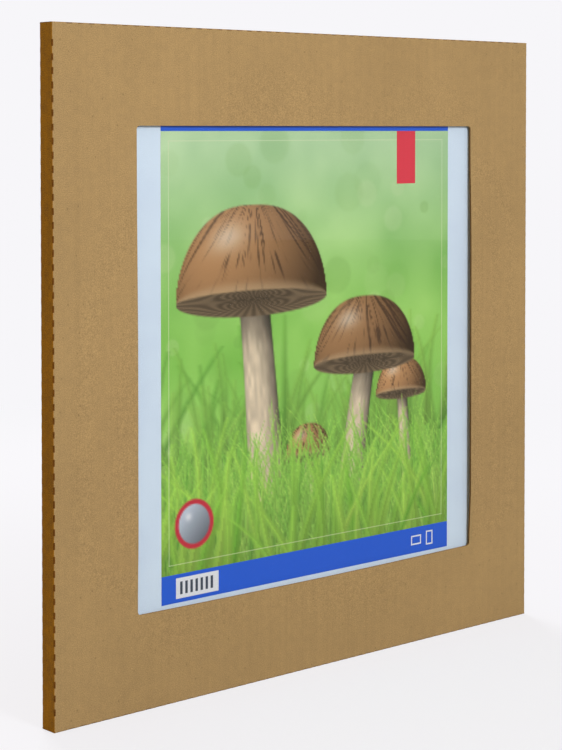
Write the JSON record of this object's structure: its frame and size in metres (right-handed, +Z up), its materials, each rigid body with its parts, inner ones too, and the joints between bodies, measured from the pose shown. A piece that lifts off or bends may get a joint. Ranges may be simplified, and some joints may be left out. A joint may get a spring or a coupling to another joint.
{
  "type": "clip frame",
  "caption": "Square clip frame with clear glazing over a printed insert and a hardboard back, held by spring clips and packed in a flat windowed carton of folding board.",
  "frame": {"origin": "on the floor under the middle of the carton", "axes": "+Z up, +X to the right seen from the front, the window faces -Y"},
  "size_m": [0.51, 0.0156, 0.51],
  "materials": {
    "kraft_board": "matte",
    "clear_acrylic": "polished",
    "printed_paper": "coated",
    "white_paper": "matte",
    "hardboard": "matte",
    "spring_steel": "bright zinc"
  },
  "bodies": {
    "packed_frame": {"carton_front_panel": "kraft_board", "acrylic_glazing": "clear_acrylic", "label_insert": "printed_paper", "mount_sheet": "white_paper", "backing_board": "hardboard"},
    "top_wall": {"carton_top_wall": "kraft_board"},
    "top_flap": {"carton_top_flap": "kraft_board"},
    "left_wall": {"carton_left_wall": "kraft_board"},
    "left_flap": {"carton_left_flap": "kraft_board"},
    "bottom_wall": {"carton_bottom_wall": "kraft_board"},
    "bottom_flap": {"carton_bottom_flap": "kraft_board"},
    "right_wall": {"carton_right_wall": "kraft_board"},
    "right_flap": {"carton_right_flap": "kraft_board"},
    "clip_top_left": {"clip_top_left": "spring_steel"},
    "clip_top_right": {"clip_top_right": "spring_steel"},
    "clip_right_upper": {"clip_right_upper": "spring_steel"},
    "clip_right_lower": {"clip_right_lower": "spring_steel"},
    "clip_bottom_right": {"clip_bottom_right": "spring_steel"},
    "clip_bottom_left": {"clip_bottom_left": "spring_steel"},
    "clip_left_lower": {"clip_left_lower": "spring_steel"},
    "clip_left_upper": {"clip_left_upper": "spring_steel"}
  },
  "joints": [
    {"name": "top_wall_fold", "type": "hinge", "parent": "packed_frame", "child": "top_wall", "pos_m": [0, -0.0078, 0.51], "axis": [1, 0, 0], "range_deg": [0, 90]},
    {"name": "top_flap_fold", "type": "hinge", "parent": "top_wall", "child": "top_flap", "pos_m": [0, 0.0078, 0.51], "axis": [1, 0, 0], "range_deg": [0, 180]},
    {"name": "left_wall_fold", "type": "hinge", "parent": "packed_frame", "child": "left_wall", "pos_m": [-0.255, -0.0078, 0.255], "axis": [0, 0, 1], "range_deg": [0, 90]},
    {"name": "left_flap_fold", "type": "hinge", "parent": "left_wall", "child": "left_flap", "pos_m": [-0.255, 0.0078, 0.255], "axis": [0, 0, 1], "range_deg": [0, 180]},
    {"name": "bottom_wall_fold", "type": "hinge", "parent": "packed_frame", "child": "bottom_wall", "pos_m": [0, -0.0078, 0], "axis": [-1, 0, 0], "range_deg": [0, 90]},
    {"name": "bottom_flap_fold", "type": "hinge", "parent": "bottom_wall", "child": "bottom_flap", "pos_m": [0, 0.0078, 0], "axis": [-1, 0, 0], "range_deg": [0, 180]},
    {"name": "right_wall_fold", "type": "hinge", "parent": "packed_frame", "child": "right_wall", "pos_m": [0.255, -0.0078, 0.255], "axis": [0, 0, -1], "range_deg": [0, 90]},
    {"name": "right_flap_fold", "type": "hinge", "parent": "right_wall", "child": "right_flap", "pos_m": [0.255, 0.0078, 0.255], "axis": [0, 0, -1], "range_deg": [0, 180]},
    {"name": "clip_top_left_lift", "type": "hinge", "parent": "packed_frame", "child": "clip_top_left", "pos_m": [-0.125, -0.0049, 0.4999], "axis": [1, 0, 0], "range_deg": [0, 5], "stiffness_Nm_per_rad": 0.02, "springref_deg": -5.73},
    {"name": "clip_top_right_lift", "type": "hinge", "parent": "packed_frame", "child": "clip_top_right", "pos_m": [0.125, -0.0049, 0.4999], "axis": [1, 0, 0], "range_deg": [0, 5], "stiffness_Nm_per_rad": 0.02, "springref_deg": -5.73},
    {"name": "clip_right_upper_lift", "type": "hinge", "parent": "packed_frame", "child": "clip_right_upper", "pos_m": [0.2468, -0.0049, 0.3781], "axis": [0, 0, -1], "range_deg": [0, 5], "stiffness_Nm_per_rad": 0.02, "springref_deg": -5.73},
    {"name": "clip_right_lower_lift", "type": "hinge", "parent": "packed_frame", "child": "clip_right_lower", "pos_m": [0.2468, -0.0049, 0.1281], "axis": [0, 0, -1], "range_deg": [0, 5], "stiffness_Nm_per_rad": 0.02, "springref_deg": -5.73},
    {"name": "clip_bottom_right_lift", "type": "hinge", "parent": "packed_frame", "child": "clip_bottom_right", "pos_m": [0.125, -0.0049, 0.0063], "axis": [-1, 0, 0], "range_deg": [0, 5], "stiffness_Nm_per_rad": 0.02, "springref_deg": -5.73},
    {"name": "clip_bottom_left_lift", "type": "hinge", "parent": "packed_frame", "child": "clip_bottom_left", "pos_m": [-0.125, -0.0049, 0.0063], "axis": [-1, 0, 0], "range_deg": [0, 5], "stiffness_Nm_per_rad": 0.02, "springref_deg": -5.73},
    {"name": "clip_left_lower_lift", "type": "hinge", "parent": "packed_frame", "child": "clip_left_lower", "pos_m": [-0.2468, -0.0049, 0.1281], "axis": [0, 0, 1], "range_deg": [0, 5], "stiffness_Nm_per_rad": 0.02, "springref_deg": -5.73},
    {"name": "clip_left_upper_lift", "type": "hinge", "parent": "packed_frame", "child": "clip_left_upper", "pos_m": [-0.2468, -0.0049, 0.3781], "axis": [0, 0, 1], "range_deg": [0, 5], "stiffness_Nm_per_rad": 0.02, "springref_deg": -5.73}
  ]
}
